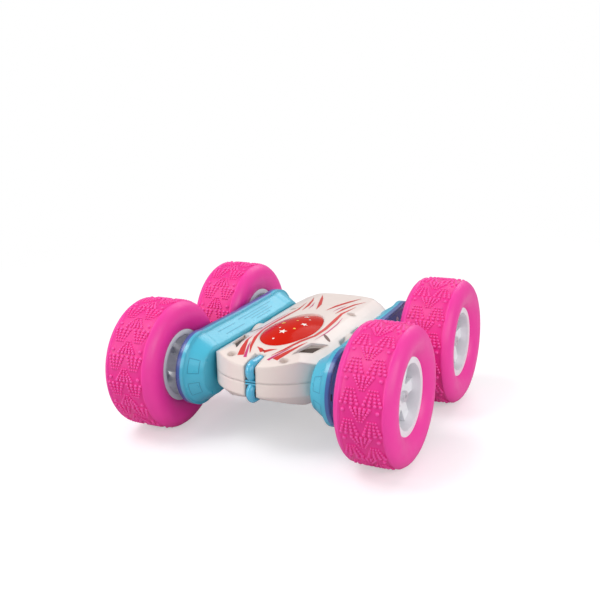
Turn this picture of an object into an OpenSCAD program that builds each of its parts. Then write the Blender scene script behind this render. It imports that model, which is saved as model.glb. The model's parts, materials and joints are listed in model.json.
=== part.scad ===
// Double-sided stunt car: a two-shell body carried on pivots between two geared swing arms.
// Frame: origin on the floor under the pivot axis, +Z up, nose towards -Y, car's left towards +X.

/* [Wheels] */
// Diameter of a tyre over its tread
tyre_d = 78; // [66:1:94]
// Width of a tyre
tyre_w = 34; // [28:0.5:42]
// Radius of a tyre's shoulders
shoulder_r = 8.5; // [8:0.5:13]
// Thickness of the rubber
tyre_wall = 4; // [2.5:0.5:5]
// Diameter over a rim's lips
rim_d = 43; // [36:1:50]
// How far the tyre's outer side stands past the rim's outer lip
lip_outer = 4.3; // [2:0.1:6]
// How far the tyre's inner side stands past the rim's inner lip
lip_inner = 2; // [1:0.1:4]
// Depth of the spoked disc behind the outer lip
dish_depth = 5; // [3:0.5:8]
// Number of spokes
spoke_count = 6; // [4:1:8]
// Width of a spoke
spoke_w = 7; // [4:0.5:8]
// Diameter of a wheel axle
axle_d = 4; // [3:0.2:5]
// Gap between an arm and the tyre beside it
wheel_gap = 7; // [4:0.5:12]

/* [Body] */
// From the pivot axis forward to the nose face
nose_y = 68; // [58:1:84]
// From the pivot axis back to the tail face
tail_y = 68; // [66:1:84]
// How much the nose's radius, seen from above, exceeds the half width
nose_ease = 5.4; // [5:0.2:30]
// How much the tail's radius, seen from above, exceeds the half width
tail_ease = 19.4; // [10:0.2:50]
// Half width over the pods
body_hw = 32.6; // [29:0.2:40]
// Half height at the flat of the deck
deck_h = 18.5; // [17:0.5:23]
// Height of the nose face above the parting line
nose_h = 9.2; // [7:0.2:12]
// Height of the nose face below the parting line
chin_h = 7.6; // [6:0.2:10]
// Half height of the tail face
tail_h = 14; // [10:0.5:17]
// Angle of the body at rest, nose up
body_pitch = 3; // [-5:0.5:5]
// Angle between deck and parting plane, rising to the tail
deck_tilt = 3; // [0:0.5:5]
// Wall of the body shells
body_wall = 1.8; // [1.4:0.1:2.2]
// Half length of the canopy
canopy_hl = 30; // [25:0.5:34]
// Half width of the canopy
canopy_hw = 15.2; // [10:0.2:17]
// Crown of the canopy above the deck
canopy_rise = 3.2; // [2:0.2:5]
// Radius of the tow hooks' bar
hook_bar_r = 2.4; // [1.8:0.1:2.8]
// Travel of the power switch
switch_travel = 3; // [2:0.5:4]

/* [Arms] */
// Thickness of an arm from its inner face to its wheel side
arm_t = 14.4; // [13.6:0.2:18]
// Radius of an arm's round ends at the band
arm_end_r = 22; // [21:0.5:27]
// Half height of an arm's waist at the band
arm_waist_h = 21; // [19:0.5:22]
// Wall of an arm
arm_wall = 2.2; // [1.6:0.1:2.4]
// Diameter of the motor
motor_d = 15.5; // [12:0.5:18]
// Length of the motor can
motor_l = 20; // [16:1:25]
// Wall of the hub tube that turns in the body
hub_wall = 2.6; // [2:0.1:3.2]
// Swing of an arm each way before its stop
arm_swing = 40; // [20:1:50]

/* [Gears] */
// Module of the pinion stage
mod_fast = 0.6; // [0.5:0.02:0.7]
// Module of the slow stage
mod_slow = 0.8; // [0.7:0.02:1]
// Teeth of the motor pinion, an even number
pinion_z = 10; // [8:2:12]
// Teeth of the compound gear's large wheel, an even number
large_z = 36; // [32:2:38]
// Teeth of the compound gear's small wheel, an even number
small_z = 12; // [10:2:14]
// Teeth of the idler, an odd number
idler_z = 23; // [21:2:25]
// Teeth of the wheel gear, an even number
wheel_z = 26; // [22:2:28]
// Diameter of the gear pins
pin_d = 3; // [2:0.2:3.4]

/* [Fits] */
// Radial clearance of what turns or slides
run_clear = 0.06; // [0.02:0.01:0.1]
// Radial clearance of what is pressed, screwed or glued
seat_clear = 0.02; // [0.01:0.01:0.05]
// End play of what turns
end_play = 0.3; // [0.2:0.05:0.5]

/* [Hidden] */
$fn = 48;

LEFT = 1;
RIGHT = -1;
FRONT = -1;
REAR = 1;
cut = 0.5;
far = 200;

// Gear train along the arm, from the motor shaft out to the wheel axle
addendum = 0.8;
dedendum = 1.1;
pressure_angle = 20;
backlash = 0.12;
large_y = mod_fast * (pinion_z + large_z) / 2;
idler_y = large_y + mod_slow * (small_z + idler_z) / 2;
wheel_y = idler_y + mod_slow * (idler_z + wheel_z) / 2;
idler_tip_r = mod_slow * (idler_z / 2 + addendum);
large_tip_r = mod_fast * (large_z / 2 + addendum);
gear_gap = 0.5;
gear_hub_wall = 1.5;
gear_hub_r = pin_d / 2 + gear_hub_wall;
idler_hub_r = min(gear_hub_r, idler_y - large_y - large_tip_r - gear_gap);
wheel_gear_hub_wall = 2.2;

// Stations across the car, from the mid-plane out
tyre_r = tyre_d / 2;
axle_z = tyre_r;
axle_r = axle_d / 2;
pin_r = pin_d / 2;
arm_gap = 1;
arm_in = body_hw + arm_gap;
arm_out = arm_in + arm_t;
band_w = 5;
arm_step = arm_out - band_w;
cover_t = 2;
cover_recess = 1;
cover_gap = 0.1;
cover_x = arm_out - cover_recess - cover_t;
arm_floor = arm_in + arm_wall;
blind_depth = 0.7 * arm_wall;
cover_hole = 0.6 * cover_t;
hole_end = 0.1;
slow_x = arm_floor + 2 * end_play;
fast_w = 3;
layer_gap = 0.8;
fast_x = cover_x - 2 * gear_gap - fast_w;
slow_w = fast_x - layer_gap - slow_x;
pinion_over = 0.4;
wheel_x = arm_out + wheel_gap + tyre_w / 2;

// Arm form: a bow-tie band, and a flank that narrows evenly from the step to the inner face
band_lip = 1.4;
crown_sink = 0.5;
step_end_r = arm_end_r - band_lip;
step_waist_h = arm_waist_h - band_lip;
inner_waist_h = 13.7;
inner_end_r = step_end_r - step_waist_h + inner_waist_h;
flank_slope = (step_waist_h - inner_waist_h) / (arm_step - arm_in);
flank_inset = arm_wall * sqrt(1 + flank_slope * flank_slope);
floor_inset = flank_inset - flank_slope * arm_wall;

// Arm screws stand between idler and wheel gear
arm_boss_r = 2.6;
arm_boss_l = 7;
arm_boss_floor = 1.8;
arm_screw_r = 1;
arm_screw_l = 6;
arm_screw_head_r = 2.1;
arm_screw_head_h = 1;
arm_screw_y = (idler_y + wheel_y) / 2;
arm_screw_z = idler_tip_r + arm_boss_r + layer_gap;

// Hub, motor and retaining ring
motor_r = motor_d / 2;
motor_flat = 0.79 * motor_r;
motor_stand = 1.6;
motor_x = arm_floor + motor_stand - motor_l;
shaft_r = 1;
motor_boss_r = 3;
motor_boss_l = 1.2;
motor_clear = 0.1;
hub_in_r = motor_r + motor_clear;
hub_r = hub_in_r + hub_wall;
collar_r = hub_r + 3.1;
collar_l = 6.6;
collar_x = body_hw - collar_l;
ring_t = 3.7;
ring_x = collar_x - end_play - ring_t;
ring_seat_r = hub_in_r + hub_wall / 2;
ring_r = collar_r - 0.9;
lug_out_r = ring_r + 2.2;
lug_half = 8;
stop_half = 6;
stop_slack = 0.6;
stop_angle = arm_swing + lug_half + stop_half + stop_slack;
stop_in_r = ring_r + end_play;
stop_out_r = lug_out_r + 2.2;

// Wheel stations, measured outward from a wheel's centre plane
rim_r = rim_d / 2;
flange_t = 2;
flange_h = 1.5;
barrel_r = rim_r - flange_h;
barrel_t = 2;
rim_out = tyre_w / 2 - lip_outer;
rim_in = -tyre_w / 2 + lip_inner;
bead_w = 4;
side_r = 6;
cavity_r = 2;
disc_t = 3;
disc_out = rim_out - dish_depth;
rim_hub_r = 5.5;
rim_hub_out = disc_out + 1;
window_in_r = rim_hub_r + 3;
bush_r = axle_r + 2;
bush_flange_r = bush_r + 1;
bush_flange_t = 1.2;
bush_stand = 0.6;
bush_in = cover_x - bush_stand;
bush_out = cover_x + cover_t + bush_flange_t;
rim_hub_in = bush_out + end_play - wheel_x;
wheel_screw_r = axle_r - 0.8;
wheel_screw_l = 7;
wheel_screw_head_r = 3;
wheel_screw_head_h = 2;
head_gap = 0.05;

// Body outlines, half views listed from nose to tail
pod_end = 18;
waist_y = collar_r + 0.5;
waist_x = body_hw - 3.1;
tail_run = 4;
half_plan = [
  [body_hw, -nose_y], [body_hw, -pod_end], [waist_x, -waist_y],
  [waist_x, waist_y], [body_hw, pod_end], [body_hw, tail_y]
];
tail_side = [[tail_y - tail_run, deck_h], [tail_y, tail_h]];
nose_arc_r = body_hw + nose_ease;
tail_arc_r = body_hw + tail_ease;
hood_run = 46;
chin_run = 42;
// Curve from the nose face to the deck, as shares of the run and of the rise
rise_shares = [[0, 0], [0.12, 0.27], [0.26, 0.5], [0.43, 0.7], [0.62, 0.85], [0.81, 0.95], [1, 1]];
function rise_side(start_h, run) = concat(
  [for (p = rise_shares) [-nose_y + p[0] * run, start_h + p[1] * (deck_h - start_h)]], tail_side
);
top_side = rise_side(nose_h + nose_y * tan(deck_tilt), hood_run);
low_side = rise_side(chin_h, chin_run);
// Crown across the car, as half width and drop from the deck
half_front = [
  [8, deck_h], [15, deck_h - 0.5], [21, deck_h - 1.7], [27, deck_h - 3.8], [body_hw + cut, deck_h - 7]
];

// Tow hooks and the nose slot they stand in
slot_hw = 3.5;
slot_l = 13;
slot_wall = 1.5;
slot_back = 3;
hook_ring_r = 3.8;
hook_y = -nose_y + 3.9;
hook_h = hook_ring_r + hook_bar_r;
hook_tail_h = hook_h + hook_ring_r;
hook_tail_y = -nose_y + slot_l + slot_back - cut;
flange_gap = 0.3;
flange_plate = [3.2, 7, 0.9];

// Canopy, an egg outline under a dome
canopy_y = -13;
canopy_egg = 0.1;
canopy_sides = 60;
canopy_base = deck_h - 6;
canopy_t = 1.6;
canopy_ledge = 1.5;
canopy_gap = 0.1;
canopy_drop_side = 4;
canopy_drop_end = 4.6;
canopy_end_r = (canopy_hl * canopy_hl + canopy_drop_end * canopy_drop_end) / (2 * canopy_drop_end);
canopy_side_r = (canopy_hw * canopy_hw + canopy_drop_side * canopy_drop_side) / (2 * canopy_drop_side);

// Headlights: window corners as seen from above, and the pocket under them
lamp_window = [
  [17.8, -nose_y + 17], [25.6, -nose_y + 26], [27.4, -nose_y + 43], [20.2, -nose_y + 36]
];
lamp_wall = 1.2;
lamp_floor = 5.2;
lens_sink = 1.5;
lens_gap = 0.1;
lamp_xy = [22.6, -nose_y + 30.5];
lamp_r = 1.5;
lamp_room = 0.6;
lamp_base = lamp_floor - lamp_wall - 2;
lamp_top = lamp_floor + 2.6;
lamp_lead_r = 0.4;
lamp_lead_pitch = 1.27;

// Body screws, from the deck down into the bottom shell
screw_r = 1.2;
screw_head_r = 2.4;
screw_head_h = 1.8;
screw_boss_r = 3.6;
screw_reach = 7;
screw_clear = 0.1;
head_clear = 0.2;
nose_screw = [16.5, -nose_y + 9.5];
tail_screw = [20, 27];
nose_screw_head = 6.2;
tail_screw_head = 8;
body_screw_l = tail_screw_head + screw_reach - 1;
// Cross recess of a screw, as shares of the head's radius and height
drive_l = 0.6;
drive_w = 0.11;
drive_depth = 0.5;

// Circuit board on posts in the front bay
board_hw = 25;
board_y0 = -nose_y + 22;
board_y1 = -lug_out_r - 4;
board_t = 1.6;
board_h = -4;
post_r = 2.4;
peg_r = 1;
post_x = board_hw - 3.5;
post_inset = 4;
// Components: x, share of the board's length, and size; then a capacitor's x, inset, radius and height
chips = [[-8, 0.45, [10, 8, 1.8]], [9, 0.35, [6, 6, 1.6]], [8, 0.75, [9, 5, 3]]];
capacitor = [-6, 5, 2.6, 6];

// Battery of four cells, its door and the frame round the door
cell_r = 5.25;
cell_l = 44.5;
battery_y = 17.2;
door_hw = 14;
door_y0 = 4;
door_y1 = tail_y - tail_run - 0.4;
door_t = 1.6;
door_gap = 0.15;
frame_w = 2;
frame_t = 1.5;
frame_h = -deck_h + door_t;
battery_h = frame_h + frame_t + end_play + 2 * cell_r;
door_screw_y = 9;
door_boss_r = 3.2;
door_boss_l = 7;
door_screw_sink = 1;
door_screw_l = 5;
door_screw_head_h = 0.9;

// Power switch on the belly floor
switch_y = -20;
switch_body = [8, 12, 6];
switch_floor = -deck_h + body_wall;
knob_w = 3;
knob_head = [5, 5, 1.6];
knob_sink = 0.2;
finger_dish = [8, 11, 0.8];

// Outline moved out by d along its edges' normals, for a list that runs anticlockwise
function edge_normal(a, b) = [b[1] - a[1], a[0] - b[0]] / norm(b - a);
function moved_corner(a, p, b, d) =
  let (n = edge_normal(a, p), m = edge_normal(p, b)) p + d * (n + m) / (1 + n * m);
function grown(pts, d) =
  let (n = len(pts))
  [for (i = [0:n - 1]) moved_corner(pts[(i + n - 1) % n], pts[i], pts[(i + 1) % n], d)];
function reversed(pts) = [for (i = [len(pts) - 1:-1:0]) pts[i]];
function mirror_x(pts) = [for (p = reversed(pts)) [-p[0], p[1]]];

// Involute gear outline with straight roots: half tooth angle at radius r, then the points of z teeth
function involute(a) = tan(a) * 180 / PI - a;
function tooth_half(z, m, r) =
  let (pitch_r = z * m / 2, base_r = pitch_r * cos(pressure_angle))
  90 / z - backlash / 2 / pitch_r * 90 / PI + involute(pressure_angle)
  - involute(acos(min(1, base_r / r)));
function polar(r, a) = [r * cos(a), r * sin(a)];
function gear_points(z, m) =
  let (
    pitch_r = z * m / 2,
    tip_r = pitch_r + addendum * m,
    root_r = pitch_r - dedendum * m,
    form_r = max(root_r, pitch_r * cos(pressure_angle)),
    radii = [root_r, form_r, tip_r]
  )
  [for (i = [0:z - 1], s = [-1, 1], k = [0:2])
    let (r = radii[s < 0 ? k : 2 - k]) polar(r, i * 360 / z + s * tooth_half(z, m, max(r, form_r)))];

// Placing: a wheel-side piece is drawn on the left and mirrored for the right
module on_side(side) {
  translate([0, 0, axle_z]) mirror([side < 0 ? 1 : 0, 0, 0]) children();
}
module in_body() {
  translate([0, 0, axle_z]) rotate([-body_pitch, 0, 0]) children();
}
// Extrudes along X, with the outline's x along Y and its y along Z
module x_extrude(x0, x1) {
  translate([x0, 0, 0]) rotate([90, 0, 90]) linear_extrude(x1 - x0) children();
}
module x_cyl(r, x0, x1) {
  translate([x0, 0, 0]) rotate([0, 90, 0]) cylinder(r = r, h = x1 - x0);
}
// Turns an outline of radius and station round the X axis
module x_turn(angle = 360) {
  rotate([0, 90, 0]) rotate_extrude(angle = angle) children();
}
module block(lo, hi) {
  translate(lo) cube(hi - lo);
}
module both_sides() {
  children();
  mirror([1, 0, 0]) children();
}

// Body form, one closed solid inset by d
module body_form(d) {
  plan = concat(half_plan, mirror_x(half_plan));
  intersection() {
    linear_extrude(4 * deck_h, center = true) polygon(grown(plan, -d));
    on_deck() roof(top_side, d);
    mirror([0, 0, 1]) roof(low_side, d);
    nose_round(d);
    tail_round(d);
  }
}
module on_deck() {
  rotate([deck_tilt, 0, 0]) children();
}
// All that lies under a roof: a side outline, carried across the car, and the crown, carried along it
module roof(side, d) {
  base = -2 * deck_h;
  edge = body_hw + cut;
  last = len(side) - 1;
  profile = concat(
    [[-nose_y - 2, base], [tail_y + 2, base], side[last] + [2, 0]], reversed(side), [side[0] - [2, 0]]
  );
  crown = concat([[edge, base]], reversed(half_front), mirror_x(reversed(half_front)), [[-edge, base]]);
  intersection() {
    x_extrude(-edge, edge) polygon(grown(profile, -d));
    rotate([90, 0, 0]) linear_extrude(2 * max(nose_y, tail_y) + 8, center = true) polygon(grown(crown, -d));
  }
}
// All that lies behind the nose, round as seen from above and bevelled evenly below its lower edge
module nose_round(d) {
  reach = deck_h + 1;
  bevel_r = nose_arc_r + chin_h - sqrt(2) * d;
  translate([0, nose_arc_r - nose_y, 0]) {
    intersection() {
      cylinder(r = nose_arc_r - d, h = 2 * reach, center = true, $fn = 160);
      cylinder(r1 = bevel_r - reach, r2 = bevel_r + reach, h = 2 * reach, center = true, $fn = 160);
    }
    block([-far, 0, -far], [far, far, far]);
  }
}
// All that lies in front of the round tail
module tail_round(d) {
  translate([0, tail_y - tail_arc_r, 0]) {
    cylinder(r = tail_arc_r - d, h = 4 * deck_h, center = true, $fn = 160);
    block([-far, -far, -far], [far, 0, far]);
  }
}
module collar_cyl(r, x0, x1) {
  both_sides() x_cyl(r, x0, x1);
}
// The two shells in one, before the parting cut
module body_skin() {
  difference() {
    union() {
      body_form(0);
      collar_cyl(collar_r, collar_x, body_hw);
    }
    difference() {
      body_form(body_wall);
      collar_cyl(collar_r, collar_x, body_hw);
      slot_block(slot_wall, slot_back);
    }
    collar_cyl(hub_r + run_clear, collar_x - 1, body_hw + 1);
    slot_block(0, 0);
  }
}
module slot_block(side, back) {
  block([-slot_hw - side, -nose_y - 1, -far], [slot_hw + side, -nose_y + slot_l + back, far]);
}
module upper_half() {
  intersection() {
    children();
    block([-far, -far, 0], [far, far, far]);
  }
}
module lower_half() {
  intersection() {
    children();
    block([-far, -far, -far], [far, far, 0]);
  }
}
// Sector round the pivot axis, centred on the nose direction turned by angle
module pivot_sector(r0, r1, x0, x1, angle, half) {
  rotate([-angle - 90 - half, 0, 0]) x_turn(2 * half)
    translate([r0, x0]) square([r1 - r0, x1 - x0]);
}
module swing_stop(angle) {
  both_sides() pivot_sector(stop_in_r, stop_out_r, ring_x, ring_x + ring_t, angle, stop_half);
}
module at_body_screws() {
  both_sides() {
    translate([nose_screw[0], nose_screw[1], nose_screw_head]) children();
    translate([tail_screw[0], tail_screw[1], tail_screw_head]) children();
  }
}
module hook_bore() {
  translate([0, hook_tail_y, hook_tail_h]) rotate([90, 0, 0])
    cylinder(r = hook_bar_r + seat_clear, h = slot_back + 1);
}
// Canopy outline, a little narrower towards the tail
module egg(d) {
  translate([0, canopy_y]) polygon([
    for (i = [0:canopy_sides - 1]) let (a = i * 360 / canopy_sides)
      [(canopy_hw + d) * cos(a) * (1 - canopy_egg * sin(a)), (canopy_hl + d) * sin(a)]
  ]);
}
module canopy_dome(d) {
  translate([0, canopy_y, deck_h + canopy_rise - d - canopy_end_r]) x_turn()
    translate([canopy_end_r - canopy_side_r, 0]) circle(r = canopy_side_r, $fn = 160);
}
module lamp_prism(d, h0, h1) {
  both_sides() translate([0, 0, h0]) linear_extrude(h1 - h0) polygon(grown(lamp_window, d));
}

module at_lamps() {
  both_sides() translate([lamp_xy[0], lamp_xy[1], 0]) children();
}

// Body pieces
module body_top_shell() color("mistyrose") in_body() difference() {
  union() {
    upper_half() body_skin();
    intersection() {
      upper_half() body_form(0);
      union() {
        lamp_prism(lamp_wall, lamp_floor - lamp_wall, far);
        at_body_screws() translate([0, 0, -far]) cylinder(r = screw_boss_r, h = 2 * far);
        swing_stop(stop_angle);
        on_deck() translate([0, 0, canopy_base - canopy_ledge]) linear_extrude(far) difference() {
          egg(canopy_gap + canopy_ledge);
          egg(-canopy_ledge);
        }
      }
    }
  }
  lamp_prism(lens_gap, lamp_floor, far);
  at_lamps() cylinder(r = lamp_r + lens_gap, h = lamp_floor + 1);
  at_body_screws() {
    translate([0, 0, -far]) cylinder(r = screw_r + screw_clear, h = 2 * far);
    cylinder(r = screw_head_r + head_clear, h = far);
  }
  on_deck() translate([0, 0, canopy_base]) linear_extrude(far) egg(canopy_gap);
  hook_bore();
}
module body_bottom_shell() color("mistyrose") in_body() difference() {
  union() {
    lower_half() body_skin();
    intersection() {
      lower_half() body_form(0);
      union() {
        at_body_screws() translate([0, 0, -far]) cylinder(r = screw_boss_r, h = 2 * far);
        swing_stop(-stop_angle);
        door_frame();
        board_posts(post_r, -deck_h, board_h);
      }
    }
    board_posts(peg_r, board_h - 1, board_h + board_t);
  }
  at_body_screws() translate([0, 0, -tail_screw_head - screw_reach])
    cylinder(r = screw_r + seat_clear, h = far);
  block([-door_hw, door_y0, -far], [door_hw, door_y1, frame_h]);
  translate([0, door_screw_y, -far])
    cylinder(r = screw_r + seat_clear, h = far + frame_h + door_boss_l - 1);
  switch_slot();
  mirror([0, 0, 1]) hook_bore();
}
module door_frame() {
  difference() {
    block(
      [-door_hw - frame_w, door_y0 - frame_w, -far],
      [door_hw + frame_w, door_y1 + frame_w, frame_h + frame_t]
    );
    block([-door_hw + frame_w, battery_y - 1, -far], [door_hw - frame_w, door_y1 - frame_w / 2, far]);
  }
  translate([0, door_screw_y, frame_h]) cylinder(r = door_boss_r, h = door_boss_l);
}
module board_posts(r, base, top) {
  for (x = [-post_x, post_x], y = [board_y0 + post_inset, board_y1 - post_inset])
    translate([x, y, base]) cylinder(r = r, h = top - base);
}
module switch_slot() {
  w = knob_w + 2 * run_clear;
  l = knob_w + switch_travel + 2 * run_clear;
  block([-w / 2, switch_y - l / 2, -far], [w / 2, switch_y + l / 2, 0]);
  translate([-finger_dish[0] / 2, switch_y - finger_dish[1] / 2, -deck_h - 1])
    cube([finger_dish[0], finger_dish[1], finger_dish[2] + 1]);
}
module canopy() color("red") in_body() on_deck() difference() {
  intersection() {
    translate([0, 0, canopy_base]) linear_extrude(deck_h) egg(0);
    canopy_dome(0);
  }
  intersection() {
    translate([0, 0, canopy_base - 1]) linear_extrude(deck_h) egg(-canopy_t);
    canopy_dome(canopy_t);
  }
}
module tow_hook() {
  color("deepskyblue") intersection() {
    union() {
      intersection() {
        translate([0, hook_y, hook_h]) x_turn() translate([hook_ring_r, 0]) circle(r = hook_bar_r);
        block([-far, -far, -far], [far, hook_y, far]);
      }
      translate([0, hook_tail_y, hook_tail_h]) rotate([90, 0, 0])
        cylinder(r = hook_bar_r, h = hook_tail_y - hook_y);
      translate([-flange_plate[0], hook_y - flange_plate[1] / 2, 0])
        cube([2 * flange_plate[0], flange_plate[1], flange_gap + flange_plate[2]]);
    }
    block([-far, -far, flange_gap], [far, far, far]);
  }
}
module upper_tow_hook() in_body() tow_hook();
module lower_tow_hook() in_body() mirror([0, 0, 1]) tow_hook();
module headlight_lenses() color("dimgray") in_body() difference() {
  intersection() {
    lamp_prism(0, lamp_floor + head_gap, deck_h);
    body_form(lens_sink);
  }
  at_lamps() cylinder(r = lamp_r + 2 * lens_gap, h = lamp_top + lamp_r + lamp_room);
}
module headlight_lamps() color("white") in_body() at_lamps() {
  lead_end = board_h + board_t + head_gap;
  translate([0, 0, lamp_top]) sphere(r = lamp_r);
  translate([0, 0, lamp_base]) cylinder(r = lamp_r, h = lamp_top - lamp_base);
  for (s = [-1, 1]) translate([s * lamp_lead_pitch, 0, lead_end])
    cylinder(r = lamp_lead_r, h = lamp_base + cut - lead_end);
}
module circuit_board() color("darkgreen") in_body() difference() {
  union() {
    block([-board_hw, board_y0, board_h], [board_hw, board_y1, board_h + board_t]);
    for (c = chips) chip(c[0], c[1], c[2]);
    translate([capacitor[0], board_y1 - capacitor[1], board_h + board_t])
      cylinder(r = capacitor[2], h = capacitor[3]);
  }
  board_posts(peg_r + seat_clear, board_h - 1, board_h + board_t + 1);
}
module chip(x, share, size) {
  y = board_y0 + share * (board_y1 - board_y0);
  translate([x - size[0] / 2, y - size[1] / 2, board_h + board_t]) cube(size);
}
module battery_pack() color("royalblue") in_body()
translate([0, battery_y, battery_h]) rotate([-90, 0, 0]) {
  for (x = [-cell_r, cell_r], y = [-cell_r, cell_r])
    translate([x, y, 0]) cylinder(r = cell_r, h = cell_l);
  translate([-cell_r, -2 * cell_r, 0]) cube([2 * cell_r, 4 * cell_r, cell_l]);
  translate([-2 * cell_r, -cell_r, 0]) cube([4 * cell_r, 2 * cell_r, cell_l]);
}
module battery_door() color("mistyrose") in_body() difference() {
  block(
    [-door_hw + door_gap, door_y0 + door_gap, -deck_h],
    [door_hw - door_gap, door_y1 - door_gap, frame_h]
  );
  translate([0, door_screw_y, -far]) {
    cylinder(r = screw_r + screw_clear, h = 2 * far);
    cylinder(r = screw_head_r + head_clear, h = far - deck_h + door_screw_sink);
  }
}
module screw(r, l, head_r, head_h) {
  color("silver") difference() {
    union() {
      translate([0, 0, -l]) cylinder(r = r, h = l + head_h / 2);
      cylinder(r = head_r, h = head_h);
    }
    for (a = [0, 90]) rotate(a)
      translate([-head_r * drive_l, -head_r * drive_w, head_h * drive_depth])
        cube([2 * head_r * drive_l, 2 * head_r * drive_w, head_h]);
  }
}
module door_screw() in_body()
  translate([0, door_screw_y, -deck_h + door_screw_sink]) mirror([0, 0, 1])
    screw(screw_r, door_screw_l, screw_head_r, door_screw_head_h);
module body_screws() in_body() at_body_screws()
  screw(screw_r, body_screw_l, screw_head_r, screw_head_h);
module switch_housing() color("black") in_body() difference() {
  translate([-switch_body[0] / 2, switch_y - switch_body[1] / 2, switch_floor]) cube(switch_body);
  knob_space(run_clear, switch_travel);
}
// Room for the knob's head, longer by the travel
module knob_space(d, travel) {
  w = knob_head[0] + 2 * d;
  l = knob_head[1] + travel + 2 * d;
  translate([-w / 2, switch_y - l / 2, switch_floor - 1]) cube([w, l, knob_head[2] + end_play + 1 + d]);
}
module switch_knob() color("black") in_body()
translate([0, switch_y - switch_travel / 2, switch_floor]) {
  translate([-knob_head[0] / 2, -knob_head[1] / 2, end_play / 2]) cube(knob_head);
  translate([-knob_w / 2, -knob_w / 2, -body_wall + knob_sink]) cube([knob_w, knob_w, body_wall]);
}

// Arm forms
// A bow-tie plate between two stations: round ends on the axles, joined by a waisted middle
module bow_tie(x0, x1, end_r, waist_h) {
  for (s = [FRONT, REAR]) translate([0, s * wheel_y, 0]) x_cyl(end_r, x0, x1, $fn = 96);
  x_extrude(x0, x1) polygon(bow_outline(end_r, waist_h));
}
function bow_outline(end_r, waist_h) =
  let (h = end_r - crown_sink)
  [[-wheel_y, h], [-wheel_y, -h], [0, -waist_h], [wheel_y, -h], [wheel_y, h], [0, waist_h]];
// A bow-tie that grows evenly from one station to another: cones on the axles and a block between them
module bow_flank(x0, end0, waist0, x1, end1, waist1) {
  for (s = [FRONT, REAR]) translate([x0, s * wheel_y, 0]) rotate([0, 90, 0])
    cylinder(r1 = end0, r2 = end1, h = x1 - x0, $fn = 96);
  polyhedron(
    points = concat(bow_ring(x0, end0, waist0), bow_ring(x1, end1, waist1)),
    faces = concat(
      [[0, 1, 2, 5], [2, 3, 4, 5], [11, 8, 7, 6], [11, 10, 9, 8]],
      [for (i = [0:5]) let (k = (i + 1) % 6) [i + 6, k + 6, k]],
      [for (i = [0:5]) let (k = (i + 1) % 6) [i + 6, k, i]]
    )
  );
}
function bow_ring(x, end_r, waist_h) = [for (p = bow_outline(end_r, waist_h)) [x, p[0], p[1]]];
module arm_form() {
  bow_flank(arm_in, inner_end_r, inner_waist_h, arm_step, step_end_r, step_waist_h);
  bow_tie(arm_step, arm_out, arm_end_r, arm_waist_h);
}
module arm_cavity() {
  top_end = step_end_r - flank_inset;
  top_waist = step_waist_h - flank_inset;
  bow_flank(
    arm_floor, inner_end_r - floor_inset, inner_waist_h - floor_inset, arm_step, top_end, top_waist
  );
  bow_tie(arm_step, cover_x + cut, top_end, top_waist);
}
module at_arm_screws() {
  for (y = [-arm_screw_y, arm_screw_y], z = [-arm_screw_z, arm_screw_z])
    translate([cover_x, y, z]) rotate([0, 90, 0]) children();
}
module gear_pin_holes(x0, x1) {
  for (y = [large_y, idler_y], s = [FRONT, REAR])
    translate([0, s * y, 0]) x_cyl(pin_r + seat_clear, x0, x1);
}
module arm_shell(side) color("mediumturquoise") on_side(side) difference() {
  union() {
    difference() {
      arm_form();
      arm_cavity();
      bow_tie(cover_x, arm_out + 1, arm_end_r - arm_wall, arm_waist_h - arm_wall);
    }
    at_arm_screws() translate([0, 0, -arm_boss_l]) cylinder(r = arm_boss_r, h = arm_boss_l);
    x_cyl(hub_r, ring_x + ring_t + end_play / 2, arm_in + cut);
    x_cyl(ring_seat_r, ring_x, arm_in);
  }
  x_cyl(hub_in_r, ring_x - 1, arm_floor + 1);
  gear_pin_holes(arm_floor - blind_depth, arm_floor + cut);
  for (s = [FRONT, REAR]) translate([0, s * wheel_y, 0])
    x_cyl(axle_r + run_clear, arm_floor - blind_depth, arm_floor + cut);
  at_arm_screws() translate([0, 0, -arm_boss_l + arm_boss_floor])
    cylinder(r = arm_screw_r + seat_clear, h = arm_boss_l);
}
module arm_cover(side) color("slateblue") on_side(side) difference() {
  inset = arm_wall + cover_gap;
  bow_tie(cover_x, cover_x + cover_t, arm_end_r - inset, arm_waist_h - inset);
  gear_pin_holes(cover_x - 1, cover_x + cover_hole);
  for (s = [FRONT, REAR]) translate([0, s * wheel_y, 0])
    x_cyl(bush_r + seat_clear, cover_x - 1, cover_x + cover_t + 1);
  at_arm_screws() {
    translate([0, 0, -1]) cylinder(r = arm_screw_r + screw_clear, h = far);
    translate([0, 0, cover_t - arm_screw_head_h]) cylinder(r = arm_screw_head_r + head_clear, h = far);
  }
}
module arm_screws(side) on_side(side) at_arm_screws()
  translate([0, 0, cover_t - arm_screw_head_h])
    screw(arm_screw_r, arm_screw_l - 1, arm_screw_head_r, arm_screw_head_h);
module motor(side) color("silver") on_side(side) {
  intersection() {
    x_cyl(motor_r, motor_x, motor_x + motor_l);
    block([0, -motor_flat, -far], [far, motor_flat, far]);
  }
  x_cyl(motor_boss_r, motor_x + motor_l - cut, motor_x + motor_l + motor_boss_l);
  x_cyl(motor_boss_r, motor_x - motor_boss_l, motor_x + cut);
  x_cyl(shaft_r, motor_x + motor_l, fast_x + fast_w + pinion_over);
}
module hub_ring(side) color("white") on_side(side) {
  difference() {
    x_cyl(ring_r, ring_x, ring_x + ring_t);
    x_cyl(ring_seat_r + seat_clear, ring_x - 1, ring_x + ring_t + 1);
  }
  pivot_sector(ring_r - cut, lug_out_r, ring_x, ring_x + ring_t, body_pitch, lug_half);
}

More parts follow.
